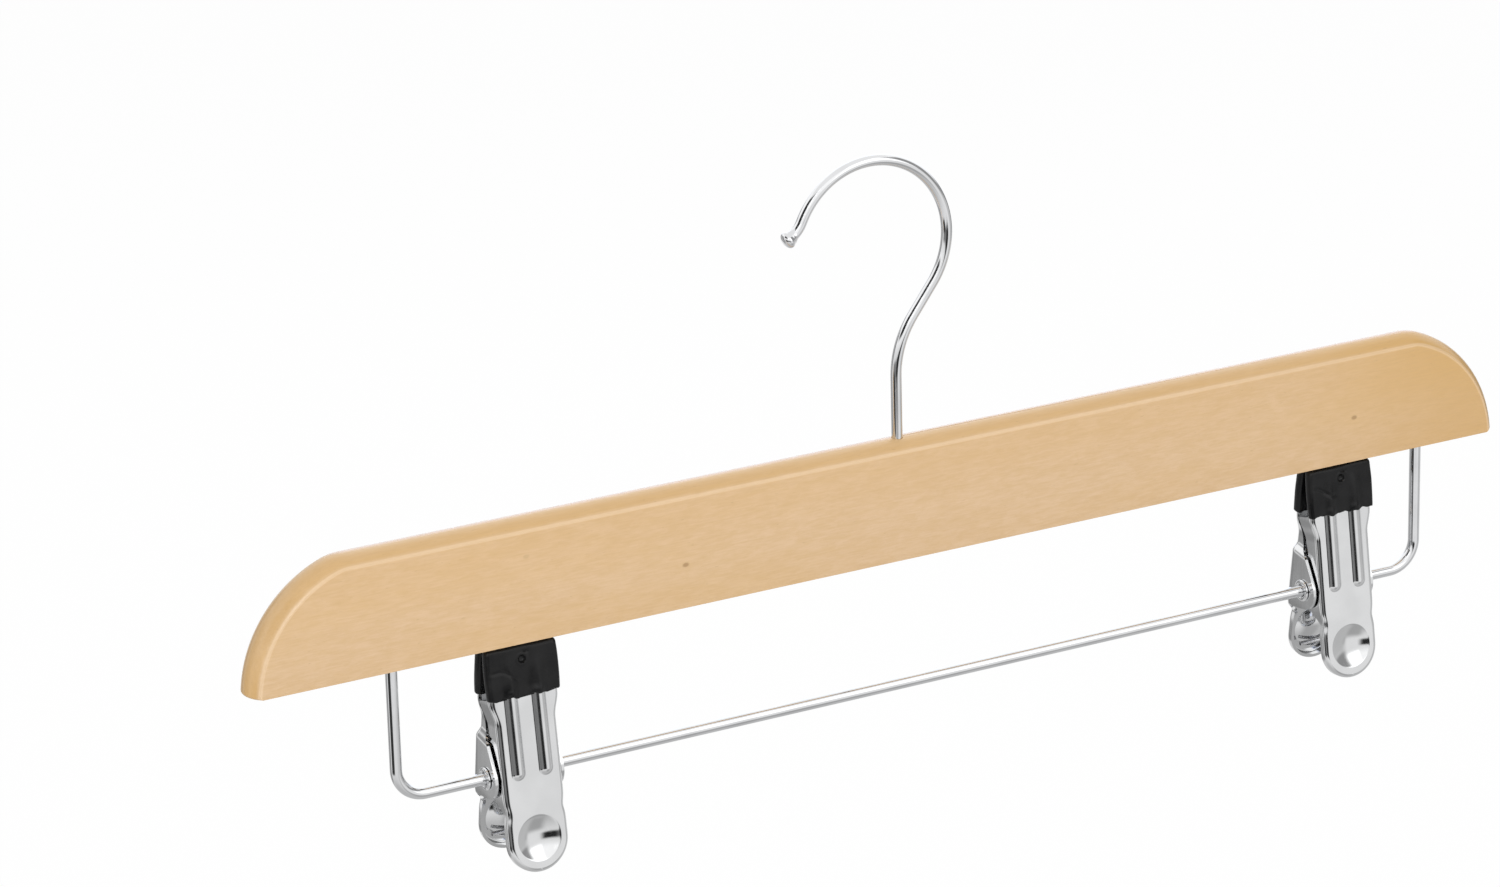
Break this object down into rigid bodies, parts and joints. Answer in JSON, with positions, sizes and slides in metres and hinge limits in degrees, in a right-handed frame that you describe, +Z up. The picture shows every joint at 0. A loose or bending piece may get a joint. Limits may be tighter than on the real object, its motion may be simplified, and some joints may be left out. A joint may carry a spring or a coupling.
{
  "type": "skirt hanger",
  "caption": "Straight wooden skirt hanger with a swivelling chrome hook and sprung clips with black grips that slide along a wire rod under the bar.",
  "frame": {"origin": "point under the hook's wire that bears on a rail, straight above the stem", "axes": "+Z up along the hook's stem, +X along the bar to the right seen from the front, -Y towards the front"},
  "size_m": [0.3556, 0.0206, 0.1625],
  "materials": {
    "varnished_wood": "clear satin varnish",
    "chrome_wire": "polished plating",
    "chrome_sheet": "polished plating",
    "spring_steel": "bright drawn wire",
    "washer_steel": "zinc plated",
    "black_grip": "dipped soft PVC, satin"
  },
  "bodies": {
    "hanger_bar": {"wood_bar": "varnished_wood", "clip_rod": "chrome_wire", "hook_washer": "washer_steel"},
    "hook": {"swivel_hook": "chrome_wire"},
    "left_pivot": {"left_pivot_tube": "chrome_wire"},
    "left_clip": {"left_spring": "spring_steel"},
    "left_front_jaw": {"left_front_jaw": "chrome_sheet", "left_front_grip": "black_grip"},
    "left_back_jaw": {"left_back_jaw": "chrome_sheet", "left_back_grip": "black_grip"},
    "right_pivot": {"right_pivot_tube": "chrome_wire"},
    "right_clip": {"right_spring": "spring_steel"},
    "right_front_jaw": {"right_front_jaw": "chrome_sheet", "right_front_grip": "black_grip"},
    "right_back_jaw": {"right_back_jaw": "chrome_sheet", "right_back_grip": "black_grip"}
  },
  "joints": [
    {"name": "hook_swivel", "type": "hinge", "parent": "hanger_bar", "child": "hook", "pos_m": [0, 0, -0.0698], "axis": [0, 0, 1], "continuous": true},
    {"name": "left_clip_slide", "type": "slide", "parent": "hanger_bar", "child": "left_pivot", "axis": [1, 0, 0], "range_m": [-0.0153, 0.096]},
    {"name": "left_clip_swing", "type": "hinge", "parent": "left_pivot", "child": "left_clip", "pos_m": [-0.1065, 0, -0.13541], "axis": [1, 0, 0], "continuous": true},
    {"name": "left_front_jaw_open", "type": "hinge", "parent": "left_clip", "child": "left_front_jaw", "pos_m": [-0.1065, 0, -0.13541], "axis": [1, 0, 0], "range_deg": [0, 17], "stiffness_Nm_per_rad": 0.2, "springref_deg": -28.65, "deforming": ["left_spring"]},
    {"name": "left_back_jaw_open", "type": "hinge", "parent": "left_clip", "child": "left_back_jaw", "pos_m": [-0.1065, 0, -0.13541], "axis": [1, 0, 0], "range_deg": [-17, 0]},
    {"name": "right_clip_slide", "type": "slide", "parent": "hanger_bar", "child": "right_pivot", "axis": [1, 0, 0], "range_m": [-0.1195, 0.0078]},
    {"name": "right_clip_swing", "type": "hinge", "parent": "right_pivot", "child": "right_clip", "pos_m": [0.13, 0, -0.13541], "axis": [1, 0, 0], "continuous": true},
    {"name": "right_front_jaw_open", "type": "hinge", "parent": "right_clip", "child": "right_front_jaw", "pos_m": [0.13, 0, -0.13541], "axis": [1, 0, 0], "range_deg": [0, 17], "stiffness_Nm_per_rad": 0.2, "springref_deg": -28.65, "deforming": ["right_spring"]},
    {"name": "right_back_jaw_open", "type": "hinge", "parent": "right_clip", "child": "right_back_jaw", "pos_m": [0.13, 0, -0.13541], "axis": [1, 0, 0], "range_deg": [-17, 0]}
  ],
  "couplings": [
    {"joint": "left_back_jaw_open", "follows": "left_front_jaw_open", "ratio": -1},
    {"joint": "right_back_jaw_open", "follows": "right_front_jaw_open", "ratio": -1}
  ]
}
